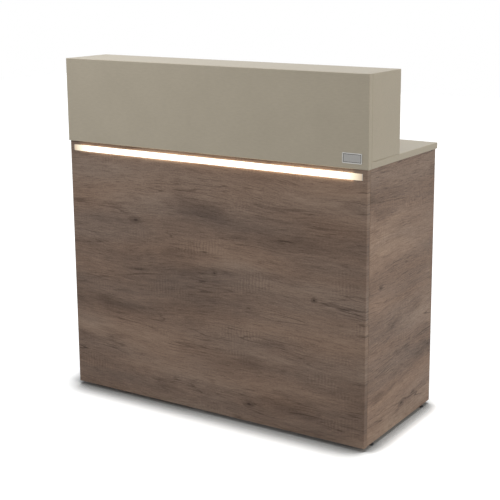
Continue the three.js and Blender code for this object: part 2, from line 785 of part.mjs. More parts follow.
// Cam lock. Its group's origin is on the lock's axis, at the inner face of the drawer front.
function addLock(drawer) {
  const lock = addGroup(drawer, 0, 0, lockZ);
  const flangeBack = board + jointGap;
  const flangeFront = flangeBack + lockFlangeThickness;
  const bore = lockBarrel / 2 + lockFit;
  addPiece(lock, 'lock_housing', turned(closedProfile([
    [bore, -lockReach],
    [lockBody / 2, -lockReach],
    [lockBody / 2, flangeBack],
    [lockFlange / 2, flangeBack],
    [lockFlange / 2, flangeFront - lockFlangeThickness / 2],
    [lockFlange / 2 - lockFlangeThickness / 2, flangeFront],
    [bore, flangeFront],
  ])), zincSteel);

  const tailStart = -lockReach - lockFit;
  const barrelForm = turned([
    [0, tailStart - lockTailLength],
    [lockTail / 2, tailStart - lockTailLength],
    [lockTail / 2, tailStart],
    [lockBarrel / 2, tailStart],
    [lockBarrel / 2, flangeFront],
    [0, flangeFront],
  ]);
  const keySlot = block({
    x: [-keySlotWidth / 2, keySlotWidth / 2],
    y: [flangeFront - keySlotDepth, flangeFront + overshoot],
    z: [-keySlotHeight / 2, keySlotHeight / 2],
  });
  addPiece(lock, 'lock_barrel', cut(barrelForm, [keySlot]), zincSteel);

  const camFront = tailStart - lockFit;
  const tip = camReach - camWidth / 2;
  const camShape = new THREE.Shape();
  camShape.absarc(0, 0, camWidth / 2, 0, Math.PI);
  camShape.absarc(0, -tip, camWidth / 2, Math.PI, Math.PI * 2);
  const camPlate = prism(camShape, 'y', camFront - camThickness, camFront, arcSteps);
  const tailHole = rod(
    [0, camFront - camThickness - overshoot, 0],
    [0, camFront + overshoot, 0],
    lockTail + 2 * lockFit,
    roundSides,
  );
  addPiece(lock, 'lock_cam', cut(camPlate, [tailHole]), zincSteel);
}

// Catch under the worktop, on the drawer front's side of the raised cam
function addStrike(desk) {
  const camFrontY = drawerInnerY - lockReach - 2 * lockFit;
  const backY = camFrontY + strikeGap;
  const frontY = backY + strikeSheet;
  const top = worktopZ - jointGap;
  const shape = new THREE.Shape([
    new THREE.Vector2(frontY, top),
    new THREE.Vector2(frontY - strikeLeg, top),
    new THREE.Vector2(frontY - strikeLeg, top - strikeSheet),
    new THREE.Vector2(backY, top - strikeSheet),
    new THREE.Vector2(backY, top - strikeHeight),
    new THREE.Vector2(frontY, top - strikeHeight),
  ]);
  const half = strikeWidth / 2;
  addPiece(desk, 'lock_strike', prism(shape, 'x', pedestalX - half, pedestalX + half), zincSteel);
}

// Outline of a bent sheet: its centre line set off by half the sheet to each side, given as (t, z) points
// with t from the wall. The outline comes back as (z, t), as a form that runs along Y takes it.
function sheetShape(centreLine, sheet) {
  const last = centreLine.length - 1;
  const sides = [[], []];
  centreLine.forEach((point, i) => {
    const before = point.clone().sub(centreLine[Math.max(i - 1, 0)]).normalize();
    const after = centreLine[Math.min(i + 1, last)].clone().sub(point).normalize();
    if (i === 0) before.copy(after);
    if (i === last) after.copy(before);
    const along = before.clone().add(after).normalize();
    const normal = new THREE.Vector2(-along.y, along.x);
    const offset = sheet / 2 / along.dot(before);
    sides[0].push(point.clone().addScaledVector(normal, offset));
    sides[1].unshift(point.clone().addScaledVector(normal, -offset));
  });
  return new THREE.Shape([...sides[0], ...sides[1]].map(({ x, y }) => new THREE.Vector2(y, x)));
}

// Mirrors the upper half of a centre line, from its middle outwards, to the whole section.
function bothHalves(upper) {
  const lower = upper.map(({ x, y }) => new THREE.Vector2(x, -y)).reverse();
  return [...lower, ...upper];
}

function arcPoints(centreX, centreY, radius, from, to) {
  const arc = new THREE.EllipseCurve(centreX, centreY, radius, radius, from, to, to < from);
  return arc.getPoints(arcSteps);
}

// Heights of the races above the middle of a runner, and the middle lines of its sheets
const quarter = Math.PI / 2;
const raceRadius = ball / 2 + ballGap + railSheet / 2;
const cabinetWebT = jointGap + railSheet / 2;
const outerBallZ = runnerHalfHeight - railSheet / 2 - raceRadius;
const middleWebT = cabinetWebT + railSheet + 2 * cageGap + cageSheet;
const middleFlangeZ = outerBallZ - raceRadius;
const innerBallZ = middleFlangeZ - raceRadius;
const drawerWebT = runnerThickness - railSheet / 2;
const drawerFlangeZ = innerBallZ - raceRadius;

// A web and a flange that meet in a round bend. The flange runs away from the web, towards `side`.
function webAndFlange(webT, flangeZ, bend, side) {
  const start = side > 0 ? Math.PI : 0;
  return arcPoints(webT + side * bend, flangeZ - bend, bend, start, quarter);
}

function cabinetRailLine() {
  const race = arcPoints(outerBallOffset, outerBallZ, raceRadius, quarter, raceOpening);
  return bothHalves([...webAndFlange(cabinetWebT, runnerHalfHeight - railSheet / 2, railBend, 1), ...race]);
}

function middleRailLine() {
  const edge = new THREE.Vector2(middleReach, middleFlangeZ);
  return bothHalves([...webAndFlange(middleWebT, middleFlangeZ, railBend, 1), edge]);
}

function drawerRailLine() {
  const race = arcPoints(innerBallOffset, innerBallZ, raceRadius, -quarter, -Math.PI + raceOpening);
  return bothHalves([...webAndFlange(drawerWebT, drawerFlangeZ, railBend, -1), ...race]);
}

function railForm(centreLine, screwT) {
  const half = runnerLength / 2;
  const rail = prism(sheetShape(centreLine, railSheet), 'y', -half, half);
  if (screwT === undefined) return rail;
  const screwY = [railScrewInset - half, 0, half - railScrewInset];
  return cut(rail, screwY.map((y) => rod([screwT - railSheet, y, 0], [screwT + railSheet, y, 0], railScrewHole)));
}

function cageForm(webT, ballT, ballZ) {
  const half = cageLength / 2;
  const edge = new THREE.Vector2(ballT + ball / 4, ballZ);
  const line = bothHalves([...webAndFlange(webT, ballZ, cageSheet, 1), edge]);
  const sheet = prism(sheetShape(line, cageSheet), 'y', -half, half);
  const rowLength = cageLength - 2 * ballRowInset;
  const balls = [];
  for (const side of [-1, 1]) {
    for (let i = 0; i < ballsPerRow; i += 1) {
      const y = (i / (ballsPerRow - 1) - 0.5) * rowLength;
      balls.push(new THREE.SphereGeometry(ball / 2, ballSides, ballRings).translate(ballT, y, side * ballZ));
    }
  }
  return join(sheet, balls);
}

// A runner's group has its origin on the pedestal's wall, at mid length and mid height, with +X to the drawer.
function addRunner(desk, side, wallX, turn) {
  const runner = addGroup(desk, wallX, drawerInnerY - jointGap - drawerLength / 2, runnerZ);
  runner.rotation.z = turn;
  const outerCageT = cabinetWebT + railSheet / 2 + cageGap + cageSheet / 2;
  const innerCageT = middleWebT + railSheet / 2 + cageGap + cageSheet / 2;
  addPiece(runner, `${side}_cabinet_rail`, railForm(cabinetRailLine(), cabinetWebT), zincSteel);
  addPiece(runner, `${side}_outer_ball_cage`, cageForm(outerCageT, outerBallOffset, outerBallZ), darkSteel);
  addPiece(runner, `${side}_middle_rail`, railForm(middleRailLine()), zincSteel);
  addPiece(runner, `${side}_inner_ball_cage`, cageForm(innerCageT, innerBallOffset, innerBallZ), darkSteel);
  addPiece(runner, `${side}_drawer_rail`, railForm(drawerRailLine(), drawerWebT), zincSteel);
}

// Levelling feet, screwed right in. A foot's group has its origin on the floor.
function addFoot(desk, name, x, y) {
  const foot = addGroup(desk, x, y, 0);
  foot.rotation.x = Math.PI / 2;
  const seat = floorGap - footSeat;
  addPiece(foot, `foot_${name}`, turned([
    [0, 0],
    [footPad / 2 - footPadLip, 0],
    [footPad / 2, footPadLip],
    [footPad / 2, footPadHeight / 2],
    [footCollar / 2, footPadHeight],
    [footCollar / 2, seat],
    [footStud / 2, seat],
    [footStud / 2, floorGap + footStudLength],
    [0, floorGap + footStudLength],
  ], footSides), blackPlastic);
  const thread = footStud / 2 + footStudFit;
  addPiece(foot, `foot_insert_${name}`, turned(closedProfile([
    [thread, floorGap],
    [insertDiameter / 2, floorGap],
    [insertDiameter / 2, floorGap + insertLength],
    [thread, floorGap + insertLength],
  ]), boreSides), zincSteel);
}

function addFeet(desk) {
  const uprights = [['left', -outerBoardX], ['middle', dividerX], ['right', outerBoardX]];
  for (const [upright, x] of uprights) {
    footRows.forEach((y, row) => addFoot(desk, `${upright}_${['front', 'back'][row]}`, x, y));
  }
}

// Cable outlet. Its group's origin is on the worktop's upper face.
function addGrommet(desk) {
  const outlet = addGroup(desk, grommetX, hutchInnerY + grommetInset, worktopTopZ);
  outlet.rotation.x = Math.PI / 2;
  const sleeve = grommetHole / 2 - grommetFit;
  const inner = sleeve - grommetWall;
  const ledgeTop = -grommetLedgeDrop;
  const ledgeBottom = ledgeTop - grommetLedgeThickness;
  const top = jointGap + grommetFlangeThickness;
  addPiece(outlet, 'grommet_ring', turned(closedProfile([
    [sleeve, -grommetSleeve],
    [sleeve, jointGap],
    [grommetFlange / 2, jointGap],
    [grommetFlange / 2, top - grommetChamfer],
    [grommetFlange / 2 - grommetChamfer, top],
    [inner, top],
    [inner, ledgeTop],
    [inner - grommetLedge, ledgeTop],
    [inner - grommetLedge, ledgeBottom],
    [inner, ledgeBottom],
    [inner, -grommetSleeve],
  ])), greyPlastic);
  const capRadius = inner - capFit;
  const capForm = turned([
    [0, ledgeTop + jointGap],
    [capRadius, ledgeTop + jointGap],
    [capRadius, top - grommetChamfer],
    [capRadius - grommetChamfer, top],
    [0, top],
  ]);
  const slot = block({
    x: [-capSlotWidth / 2, capSlotWidth / 2],
    y: [ledgeBottom, top + overshoot],
    z: [capSlotRadius, capRadius + overshoot],
  });
  addPiece(outlet, 'grommet_cap', cut(capForm, [slot]), greyPlastic);
}

// Assembly
const desk = new THREE.Group();
desk.name = 'reception_desk';
addCarcass(desk);
addShelf(desk);
addHutch(desk);
addBadge(desk);
addLight(desk);
addLead(desk);
addDriver(desk);
const drawer = addGroup(desk, pedestalX, drawerInnerY, drawerZ);
addDrawerBox(drawer);
addHandle(drawer);
addLock(drawer);
addStrike(desk);
addRunner(desk, 'left', pedestalLeftX, 0);
addRunner(desk, 'right', pedestalRightX, Math.PI);
addFeet(desk);
addGrommet(desk);

export default desk;
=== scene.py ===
import json
import math

import bmesh
import bpy
from mathutils import Matrix, Vector


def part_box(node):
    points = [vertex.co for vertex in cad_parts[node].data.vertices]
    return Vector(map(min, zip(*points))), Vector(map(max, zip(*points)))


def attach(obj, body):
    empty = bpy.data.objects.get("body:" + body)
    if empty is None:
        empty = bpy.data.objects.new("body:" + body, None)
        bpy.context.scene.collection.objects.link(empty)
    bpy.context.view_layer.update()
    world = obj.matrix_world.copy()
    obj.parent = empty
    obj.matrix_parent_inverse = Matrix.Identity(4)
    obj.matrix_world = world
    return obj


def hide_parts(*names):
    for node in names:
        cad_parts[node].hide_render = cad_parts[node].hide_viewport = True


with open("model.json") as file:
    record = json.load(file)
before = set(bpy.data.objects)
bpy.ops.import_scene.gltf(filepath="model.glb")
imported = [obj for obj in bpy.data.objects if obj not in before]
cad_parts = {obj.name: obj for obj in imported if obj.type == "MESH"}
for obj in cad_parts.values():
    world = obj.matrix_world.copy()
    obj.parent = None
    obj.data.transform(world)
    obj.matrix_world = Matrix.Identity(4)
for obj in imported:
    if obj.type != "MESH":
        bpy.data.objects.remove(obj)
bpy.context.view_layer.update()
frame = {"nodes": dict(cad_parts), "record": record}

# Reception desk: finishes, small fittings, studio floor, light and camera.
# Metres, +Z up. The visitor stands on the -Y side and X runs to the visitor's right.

nodes = frame["nodes"]
slot_of = {part["node"]: part["material_slot"] for part in frame["record"]["subparts"]}


# Colours

def linear(red, green, blue):
    """Linear colour from display values of 0 to 255."""
    channels = []
    for value in (red, green, blue):
        share = value / 255
        channels.append(share / 12.92 if share <= 0.04045 else ((share + 0.055) / 1.055) ** 2.4)
    return (*channels, 1.0)


def oak_colours(level):
    """Tones of the oak decor at one brightness: a warm brown and a greyer brown."""
    tones = {
        "dark": (78, 61, 50),
        "middle": (130, 108, 94),
        "light": (170, 146, 128),
        "grey_dark": (74, 61, 54),
        "grey": (126, 108, 97),
        "grey_light": (166, 148, 134),
        "knot": (54, 40, 33),
    }
    return {name: tuple(level * c for c in linear(*tone)[:3]) + (1.0,) for name, tone in tones.items()}


# The same oak decor in two copies: the side copy is painted lighter and the front copy darker, standing in
# for the stronger light on the sides. Flat boards take the lighter copy too.
FRONT_OAK_PAINTED_DARKER = oak_colours(1.10)
SIDE_OAK_PAINTED_LIGHTER = oak_colours(1.32)
SAW_PITCH = 0.0105  # spacing of the marks that a saw leaves across the grain
PALE_LOW = linear(186, 177, 159)
PALE_HIGH = linear(196, 187, 169)


# Materials

class Finish:
    """A material with a Principled shader and short calls for the nodes that feed it."""

    def __init__(self, name):
        self.material = bpy.data.materials.new(name)
        self.material.use_nodes = True
        self.tree = self.material.node_tree
        self.shader = self.tree.nodes["Principled BSDF"]

    def feed(self, socket, value):
        if isinstance(value, bpy.types.NodeSocket):
            self.tree.links.new(value, socket)
        else:
            socket.default_value = value

    def node(self, kind, inputs=None, **settings):
        made = self.tree.nodes.new("ShaderNode" + kind)
        for key, value in settings.items():
            setattr(made, key, value)
        for key, value in (inputs or {}).items():
            self.feed(made.inputs[key], value)
        return made

    def set(self, **values):
        for key, value in values.items():
            self.feed(self.shader.inputs[key.replace("_", " ")], value)

    def place(self):
        return self.node("TexCoord").outputs["Object"]

    def axes(self, vector):
        return self.node("SeparateXYZ", {0: vector}).outputs

    def vector(self, x, y, z):
        return self.node("CombineXYZ", {0: x, 1: y, 2: z}).outputs[0]

    def math(self, operation, first, second=0.0, third=0.0):
        inputs = {0: first, 1: second, 2: third}
        return self.node("Math", inputs, operation=operation).outputs[0]

    def scaled(self, vector, factors):
        return self.node("VectorMath", {0: vector, 1: factors}, operation="MULTIPLY").outputs[0]

    def noise(self, vector, scale=1.0, detail=2.0, roughness=0.5):
        inputs = {"Vector": vector, "Scale": scale, "Detail": detail, "Roughness": roughness}
        return self.node("TexNoise", inputs).outputs[0]

    def ramp(self, factor, stops):
        made = self.node("ValToRGB", {0: factor})
        elements = made.color_ramp.elements
        elements[0].position, elements[0].color = stops[0]
        elements[1].position, elements[1].color = stops[-1]
        for position, colour in stops[1:-1]:
            elements.new(position).color = colour
        return made.outputs[0]

    def mix(self, factor, first, second):
        made = self.node("Mix", data_type="RGBA")
        self.feed(made.inputs[0], factor)
        self.feed(made.inputs[6], first)
        self.feed(made.inputs[7], second)
        return made.outputs[2]

    def span(self, value, low, high, to_low, to_high):
        inputs = {0: value, 1: low, 2: high, 3: to_low, 4: to_high}
        return self.node("MapRange", inputs).outputs[0]

    def bump(self, height, strength, distance):
        inputs = {"Height": height, "Strength": strength, "Distance": distance}
        self.set(Normal=self.node("Bump", inputs).outputs[0])


def spot(finish, colour, u, v, knot, ink):
    """A small knot: a soft dark halo drawn out along the grain with a darker core in it."""
    at_u, at_v, half_u, half_v = knot
    stretched_u = finish.math("MULTIPLY", u, 55.0)
    stretched_v = finish.math("MULTIPLY", v, 190.0)
    ragged = finish.noise(finish.vector(stretched_u, stretched_v, at_u))
    for size, depth in ((1.0, 0.42), (0.3, 0.75)):
        du = finish.math("DIVIDE", finish.math("SUBTRACT", u, at_u), half_u * size)
        dv = finish.math("DIVIDE", finish.math("SUBTRACT", v, at_v), half_v * size)
        squares = finish.math("ADD", finish.math("MULTIPLY", du, du), finish.math("MULTIPLY", dv, dv))
        reach = finish.math("ADD", squares, finish.span(ragged, 0.3, 0.7, -0.4, 0.4))
        inside = finish.node("MapRange", {0: reach, 1: 0.1, 2: 1.2, 3: depth, 4: 0.0})
        inside.interpolation_type = "SMOOTHSTEP"
        colour = finish.mix(inside.outputs[0], colour, ink)
    return colour


def oak(name, along, across, colours, seed, knots=()):
    """Weathered oak decor with its grain along one axis: clouds, streaks, cracks, knots and saw ticks."""
    finish = Finish(name)
    axes = finish.axes(finish.place())
    u = axes["XYZ".index(along)]
    v = axes["XYZ".index(across)]
    board = finish.vector(u, v, seed)

    sway = finish.noise(finish.scaled(board, (1.4, 3.0, 1.0)), detail=2.0)
    wander = finish.math("MULTIPLY", finish.math("SUBTRACT", sway, 0.5), 0.10)
    grain = finish.vector(u, finish.math("ADD", v, wander), seed)

    cloud = finish.noise(finish.scaled(grain, (2.2, 6.5, 1.0)), detail=4.0)
    band = finish.noise(finish.scaled(grain, (0.9, 10.0, 47.0)), detail=2.0)
    streak = finish.noise(finish.scaled(grain, (5.0, 58.0, 3.0)), detail=3.0, roughness=0.6)
    fine = finish.noise(finish.scaled(grain, (30.0, 270.0, 5.0)), detail=4.0, roughness=0.65)
    pore = finish.noise(finish.scaled(grain, (26.0, 520.0, 7.0)), detail=1.0)
    blotch = finish.noise(finish.scaled(grain, (4.0, 17.0, 11.0)), detail=2.0)
    split = finish.noise(finish.scaled(grain, (1.7, 24.0, 13.0)), detail=1.0)
    where = finish.noise(finish.scaled(grain, (4.5, 14.0, 17.0)), detail=1.0)
    speck = finish.noise(finish.scaled(grain, (170.0, 430.0, 37.0)), detail=2.0)
    hair = finish.noise(finish.scaled(grain, (4.0, 70.0, 29.0)), detail=1.0)
    hair_patch = finish.noise(finish.scaled(grain, (5.0, 16.0, 31.0)), detail=1.0)
    tick_patch = finish.noise(finish.scaled(board, (6.0, 13.0, 19.0)), detail=2.0)

    off_split = finish.math("ABSOLUTE", finish.math("SUBTRACT", split, 0.5))
    crack = finish.math(
        "MULTIPLY",
        finish.span(off_split, 0.0, 0.010, 1.0, 0.0),
        finish.span(where, 0.58, 0.68, 0.0, 1.0),
    )
    off_hair = finish.math("ABSOLUTE", finish.math("SUBTRACT", hair, 0.5))
    line = finish.math(
        "MULTIPLY",
        finish.span(off_hair, 0.0, 0.025, 1.0, 0.0),
        finish.span(hair_patch, 0.46, 0.60, 0.0, 1.0),
    )
    shake = finish.noise(finish.scaled(board, (60.0, 40.0, 1.0)), detail=1.0)
    phase = finish.math("MULTIPLY_ADD", u, 2 * math.pi / SAW_PITCH, finish.math("MULTIPLY", shake, 7.0))
    tick = finish.math("MULTIPLY", finish.math("SINE", phase), finish.span(tick_patch, 0.57, 0.70, 0.0, 1.0))

    def add(tone, value, centre, weight):
        return finish.math("MULTIPLY_ADD", finish.math("SUBTRACT", value, centre), weight, tone)

    tone = add(0.57, cloud, 0.5, 0.85)
    tone = add(tone, band, 0.5, 0.70)
    tone = add(tone, streak, 0.5, 0.34)
    tone = add(tone, fine, 0.5, 0.66)
    tone = add(tone, speck, 0.5, 0.45)
    tone = add(tone, finish.span(blotch, 0.56, 0.74, 0.0, 1.0), 0.0, -0.28)
    tone = add(tone, finish.span(pore, 0.58, 0.70, 0.0, 1.0), 0.0, -0.22)
    tone = add(tone, crack, 0.0, -0.60)
    tone = add(tone, line, 0.0, -0.30)
    tone = add(tone, tick, 0.0, 0.07)
    warm_tones = ("dark", "middle", "light")
    grey_tones = ("grey_dark", "grey", "grey_light")
    warm = finish.ramp(tone, [(at, colours[key]) for at, key in zip((0.0, 0.5, 1.0), warm_tones)])
    grey = finish.ramp(tone, [(at, colours[key]) for at, key in zip((0.0, 0.5, 1.0), grey_tones)])
    cast = finish.noise(finish.scaled(grain, (2.0, 9.0, 23.0)), detail=2.0)
    colour = finish.mix(finish.span(cast, 0.35, 0.65, 0.0, 1.0), warm, grey)
    for knot in knots:
        colour = spot(finish, colour, u, v, knot, colours["knot"])

    finish.set(Base_Color=colour, Roughness=finish.span(streak, 0.3, 0.7, 0.50, 0.62))
    finish.set(Specular_IOR_Level=0.28)
    relief = finish.math("MULTIPLY_ADD", fine, 0.6, finish.math("MULTIPLY", crack, -0.8))
    finish.bump(relief, 0.25, 0.0004)
    return finish.material


def pale(name):
    """Pale satin decor with a faint mottle and a fine pressed texture."""
    finish = Finish(name)
    place = finish.place()
    cloud = finish.noise(place, 9.0, 3.0)
    fleck = finish.noise(finish.scaled(place, (60.0, 260.0, 260.0)), 1.0, 2.0)
    tone = finish.math("MULTIPLY_ADD", fleck, 0.5, finish.math("MULTIPLY", cloud, 0.5))
    colour = finish.ramp(tone, [(0.3, PALE_LOW), (0.7, PALE_HIGH)])
    finish.set(Base_Color=colour, Roughness=finish.span(cloud, 0.3, 0.7, 0.42, 0.50))
    finish.bump(finish.noise(place, 1400.0, 1.0), 0.10, 0.0002)
    return finish.material


def lit_diffuser(name, half_length):
    """Opal cover of the light line, lit evenly and dimmer and warmer over its last centimetres."""
    finish = Finish(name)
    x = finish.axes(finish.place())[0]
    from_end = finish.math("SUBTRACT", half_length, finish.math("ABSOLUTE", x))
    share = finish.math("DIVIDE", from_end, LIGHT_FADE)
    glow = finish.ramp(share, [
        (0.0, (0.22, 0.16, 0.11, 1.0)),
        (0.2, (0.40, 0.33, 0.23, 1.0)),
        (0.5, (0.60, 0.53, 0.41, 1.0)),
        (1.0, (1.0, 0.93, 0.80, 1.0)),
    ])
    finish.set(Base_Color=linear(180, 172, 160), Roughness=0.35)
    finish.set(Emission_Color=glow, Emission_Strength=1.7)
    return finish.material


def metal(name, colour, roughness, grain, bump):
    """Metal with a brushed or spangled surface: grain gives the noise scale along X, Y and Z."""
    finish = Finish(name)
    lines = finish.noise(finish.scaled(finish.place(), grain), 1.0, 3.0)
    darker = tuple(0.86 * value for value in colour[:3]) + (1.0,)
    finish.set(Base_Color=finish.mix(lines, darker, colour), Metallic=1.0)
    finish.set(Roughness=finish.span(lines, 0.3, 0.7, roughness - 0.06, roughness + 0.06))
    finish.bump(lines, bump, 0.0002)
    return finish.material


def badge(name):
    """Blank nickel plate: a bright rim, a dark line inside it that is painted shade standing in for a groove,
    and a brushed field.
    """
    finish = Finish(name)
    low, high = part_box("badge_plate")
    centre = (low + high) / 2
    half = (high - low) / 2
    place = finish.place()
    axes = finish.axes(place)
    across = finish.math("ABSOLUTE", finish.math("SUBTRACT", axes[0], centre.x))
    up = finish.math("ABSOLUTE", finish.math("SUBTRACT", axes[2], centre.z))
    from_side = finish.math("SUBTRACT", half.x, across)
    from_top = finish.math("SUBTRACT", half.z, up)
    inset = finish.math("MINIMUM", from_side, from_top)
    lines = finish.noise(finish.scaled(place, (40.0, 900.0, 900.0)), 1.0, 3.0)
    field = finish.mix(lines, linear(146, 144, 142), linear(170, 168, 165))
    # The dark line inside the bright rim is painted shade, standing in for a groove that the flat plate does
    # not have.
    edge = finish.ramp(finish.math("DIVIDE", inset, 0.01), [
        (0.0, linear(198, 196, 192)),
        (0.24, linear(198, 196, 192)),
        (0.27, linear(70, 68, 66)),
        (0.42, linear(84, 82, 80)),
        (0.46, linear(255, 255, 255)),
    ])
    rim = finish.math("LESS_THAN", inset, 0.0045)
    finish.set(Base_Color=finish.mix(rim, field, edge), Metallic=1.0)
    finish.set(Roughness=finish.span(lines, 0.3, 0.7, 0.34, 0.46))
    finish.bump(lines, 0.2, 0.0002)
    return finish.material


def plastic(name, colour, roughness):
    """Moulded plastic with a fine spark-eroded grain and a slight change of tone."""
    finish = Finish(name)
    place = finish.place()
    cloud = finish.noise(place, 40.0, 2.0)
    lighter = tuple(min(1.0, 1.12 * value) for value in colour[:3]) + (1.0,)
    finish.set(Base_Color=finish.mix(cloud, colour, lighter))
    finish.set(Roughness=finish.span(cloud, 0.3, 0.7, roughness - 0.05, roughness + 0.05))
    finish.bump(finish.noise(place, 2200.0, 1.0), 0.15, 0.0002)
    return finish.material


def circuit(name):
    """White circuit tape with a row of yellow light chips."""
    finish = Finish(name)
    axes = finish.axes(finish.place())
    pitch = 0.0083
    along = finish.math("FRACT", finish.math("DIVIDE", axes[0], pitch))
    chip = finish.math("LESS_THAN", finish.math("ABSOLUTE", finish.math("SUBTRACT", along, 0.5)), 0.2)
    finish.set(Base_Color=finish.mix(chip, linear(235, 235, 230), linear(236, 196, 92)), Roughness=0.45)
    return finish.material


LIGHT_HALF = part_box("led_diffuser")[1].x
LIGHT_FADE = 0.060
FRONT_KNOTS = (
    (-0.259, 0.5525, 0.030, 0.013),
    (0.019, 0.4313, 0.014, 0.009),
    (0.345, 0.4007, 0.012, 0.009),
    (-0.016, 0.4878, 0.018, 0.003),
    (0.133, 0.0627, 0.026, 0.014),
)
SIDE_KNOTS = ((-0.122, 0.4378, 0.016, 0.010), (0.017, 0.0668, 0.024, 0.013))

finishes = {
    "oak_front": oak("oak_front", "X", "Z", FRONT_OAK_PAINTED_DARKER, 3.7, FRONT_KNOTS),
    "oak_side": oak("oak_side", "Y", "Z", SIDE_OAK_PAINTED_LIGHTER, 8.2, SIDE_KNOTS),
    "oak_flat": oak("oak_flat", "X", "Y", SIDE_OAK_PAINTED_LIGHTER, 5.1),
    "pale_decor": pale("pale_decor"),
    "drawer_board": plastic("drawer_board", linear(206, 202, 194), 0.50),
    "aluminium": metal("aluminium", linear(205, 206, 208), 0.34, (12.0, 900.0, 900.0), 0.2),
    "opal": lit_diffuser("opal", LIGHT_HALF),
    "circuit": circuit("circuit"),
    "zinc_steel": metal("zinc_steel", linear(190, 194, 198), 0.36, (110.0, 60.0, 110.0), 0.12),
    "dark_steel": metal("dark_steel", linear(74, 74, 78), 0.40, (260.0, 260.0, 260.0), 0.2),
    "black_plastic": plastic("black_plastic", linear(38, 38, 40), 0.46),
    "white_plastic": plastic("white_plastic", linear(224, 224, 220), 0.42),
    "grey_plastic": plastic("grey_plastic", linear(150, 150, 148), 0.46),
    "badge_metal": badge("badge_metal"),
}


def oak_for(node):
    """The oak whose grain runs along a board, told from which of its sides is thinnest."""
    low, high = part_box(node)
    size = high - low
    thin = min(range(3), key=lambda axis: size[axis])
    # Side and flat boards get the copy painted lighter, and front boards get the copy painted darker.
    return ("oak_side", "oak_front", "oak_flat")[thin]


for name, piece in nodes.items():
    slot = slot_of[name]
    key = oak_for(name) if slot == "oak_decor" else slot
    piece.material_slots[0].material = finishes[key]


# Small fittings

SIDES = 36
SMOOTH_TO = math.radians(35)


def add_form(name, build, finish, body):
    """A new piece whose mesh is built in place by a function, riding on a body."""
    shape = bmesh.new()
    build(shape)
    bmesh.ops.recalc_face_normals(shape, faces=shape.faces)
    mesh = bpy.data.meshes.new(name)
    shape.to_mesh(mesh)
    shape.free()
    mesh.polygons.foreach_set("use_smooth", [True] * len(mesh.polygons))
    mesh.set_sharp_from_angle(angle=SMOOTH_TO)
    mesh.materials.append(finishes[finish])
    piece = bpy.data.objects.new(name, mesh)
    bpy.context.scene.collection.objects.link(piece)
    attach(piece, body)
    return piece


def corner_share(angle, corners):
    """Reach of a regular polygon at an angle, as a share of its reach at a corner."""
    step = 2 * math.pi / corners
    return math.cos(step / 2) / math.cos(angle % step - step / 2)


def skin(shape, rings, bored=False):
    """Joins rings of vertices one after the other, and closes the ends or, if bored, joins last to first."""
    pairs = list(zip(rings, rings[1:]))
    if bored:
        pairs.append((rings[-1], rings[0]))
    else:
        shape.faces.new(rings[0][::-1])
        shape.faces.new(rings[-1])
    for low, high in pairs:
        for step in range(len(low)):
            after = (step + 1) % len(low)
            shape.faces.new((low[step], low[after], high[after], high[step]))


def turn(shape, place, axis, profile, bored=False):
    """Adds a turned form: (radius, height) or (radius, height, corners) from its foot to its far end."""
    along = Vector(axis).normalized()
    side = along.orthogonal().normalized()
    other = along.cross(side)
    rings = []
    for radius, height, *corners in profile:
        ring = []
        for step in range(SIDES):
            angle = 2 * math.pi * step / SIDES
            reach = radius * (corner_share(angle, corners[0]) if corners else 1.0)
            spoke = math.cos(angle) * side + math.sin(angle) * other
            ring.append(shape.verts.new(Vector(place) + along * height + reach * spoke))
        rings.append(ring)
    skin(shape, rings, bored)


def screw_profile(head, height):
    """Pan head with a hexagon socket."""
    radius = head / 2
    socket = 0.42 * radius
    return [
        (0.96 * radius, 0.0),
        (radius, 0.12 * height),
        (radius, 0.55 * height),
        (0.9 * radius, 0.83 * height),
        (0.72 * radius, height),
        (socket * 1.08, height, 6),
        (socket, 0.94 * height, 6),
        (socket, 0.4 * height, 6),
    ]


def add_screws(name, places, axis, head, height, finish, body):
    profile = screw_profile(head, height)

    def build(shape):
        for place in places:
            turn(shape, place, axis, profile)

    add_form(name, build, finish, body)


COVER_PROFILE = [(0.0084, 0.0), (0.0085, 0.0003), (0.0081, 0.0008), (0.0060, 0.0010), (0.0020, 0.0011)]


def add_covers(name, places, axis, finish):
    """Stick-on covers, in the board's decor, over the fittings that draw the boards together."""

    def build(shape):
        for place in places:
            turn(shape, place, axis, COVER_PROFILE)

    add_form(name, build, finish, "desk")


COVER_HEIGHTS = (0.110, 0.400, 0.640)
COVER_INSET = 0.034
SEAT = 0.0001  # new pieces stand this far off the faces that carry them


def add_all_covers():
    """Covers in rows along the front and upper edges of the boards, on their inner faces."""
    front_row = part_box("right_side_panel")[0].y + COVER_INSET
    top_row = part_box("right_side_panel")[1].z - COVER_INSET
    spots = [(front_row, z) for z in COVER_HEIGHTS] + [(-0.050, top_row), (0.110, top_row)]
    lower = [(front_row, z) for z in COVER_HEIGHTS[:2]]
    low_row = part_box("worktop")[1].z + COVER_INSET
    hutch_row = [(-0.150, low_row), (-0.075, low_row)]
    upright_boards = (
        ("covers_right_side", "right_side_panel", -1, spots, "oak_side", "oak_decor"),
        ("covers_divider", "divider_panel", 1, spots, "oak_side", "oak_decor"),
        ("covers_left_side", "left_side_panel", 1, lower, "oak_side", "oak_decor"),
        ("covers_hutch_left", "hutch_left_side", 1, hutch_row, "pale_decor", "pale_decor"),
        ("covers_hutch_right", "hutch_right_side", -1, hutch_row, "pale_decor", "pale_decor"),
    )
    for name, board, way, row, finish, slot in upright_boards:
        low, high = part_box(board)
        face = (high.x if way > 0 else low.x) + way * SEAT
        add_covers(name, [(face, y, z) for y, z in row], (way, 0, 0), finish)
    back_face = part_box("hutch_front_panel")[1].y + SEAT
    front_places = [(x, back_face, low_row) for x in (-0.32, 0.0, 0.32)]
    add_covers("covers_hutch_front", front_places, (0, 1, 0), "pale_decor")


DRIVER_EAR = 0.012
DRIVER_EAR_THICKNESS = 0.003
STRIKE_THICKNESS = 0.002
STRIKE_SCREW_INSET = 0.0055
STRIKE_SCREW_OFFSET = 0.014
HANDLE_BAR = 0.009
HANDLE_BEND = 0.011
HANDLE_ARC_STEPS = 8
BAR_SIDES = 24


